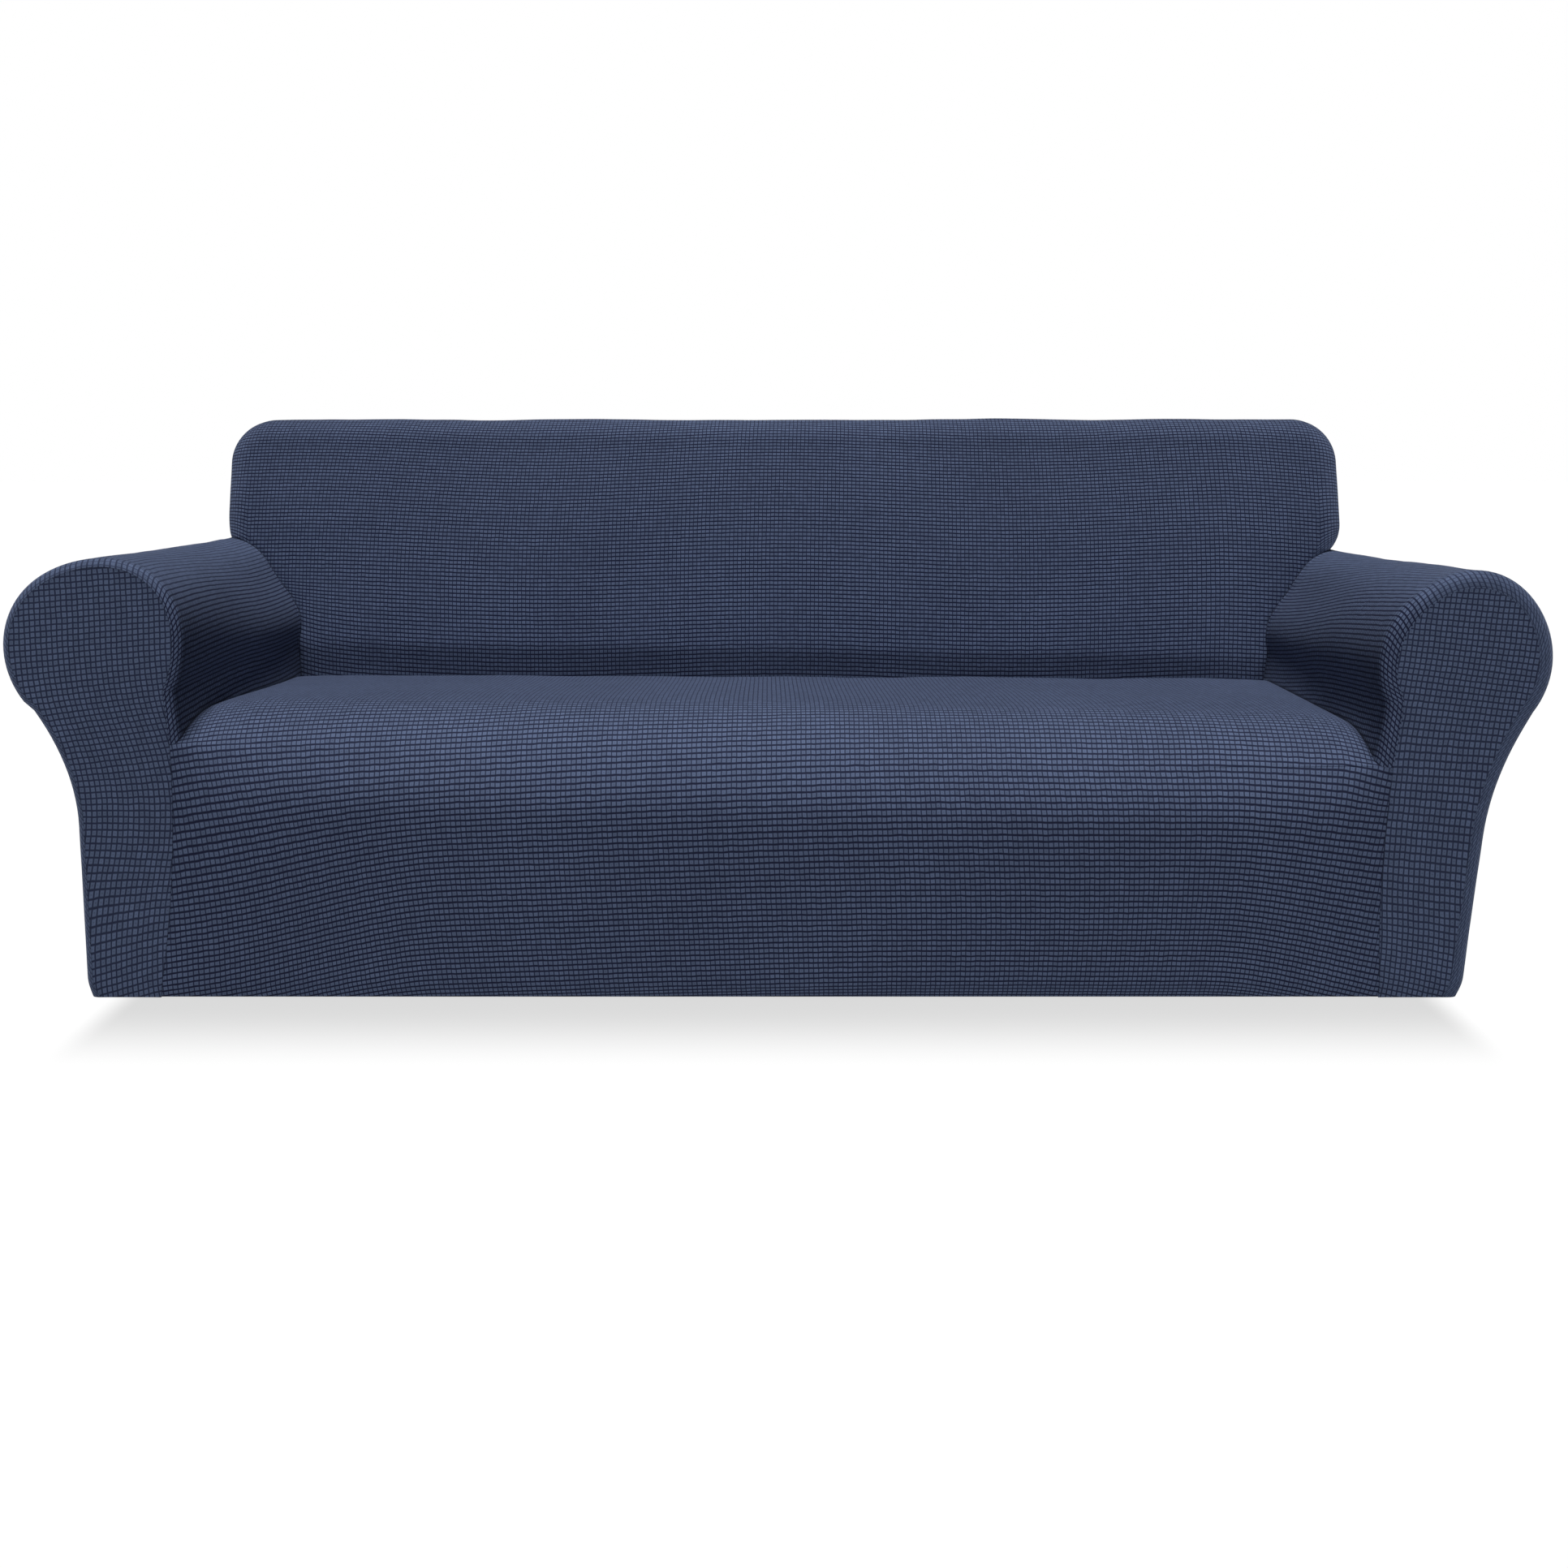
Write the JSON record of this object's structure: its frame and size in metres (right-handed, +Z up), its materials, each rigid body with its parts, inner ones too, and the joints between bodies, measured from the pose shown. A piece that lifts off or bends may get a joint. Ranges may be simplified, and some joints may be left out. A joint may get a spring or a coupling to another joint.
{
  "type": "sofa slipcover",
  "caption": "Fitted stretch slipcover for a rolled-arm sofa: a hollow one-piece cover with seat, back, arm sleeves, scroll fronts and an elastic hem.",
  "frame": {"origin": "middle of the cover's bounding box at the height of the hem", "axes": "+X to the right of someone facing the sofa, along its width; +Y from the front to the back; +Z up"},
  "size_m": [2.246, 0.91, 0.8599],
  "materials": {
    "navy_stretch_cloth": "matt navy stretch jacquard, a grid of small raised squares"
  },
  "bodies": {
    "root": {"seat_and_front": "navy_stretch_cloth", "inside_back": "navy_stretch_cloth", "outside_back": "navy_stretch_cloth", "arm_sleeve_left": "navy_stretch_cloth", "arm_sleeve_right": "navy_stretch_cloth", "arm_front_left": "navy_stretch_cloth", "arm_front_right": "navy_stretch_cloth"}
  },
  "joints": []
}
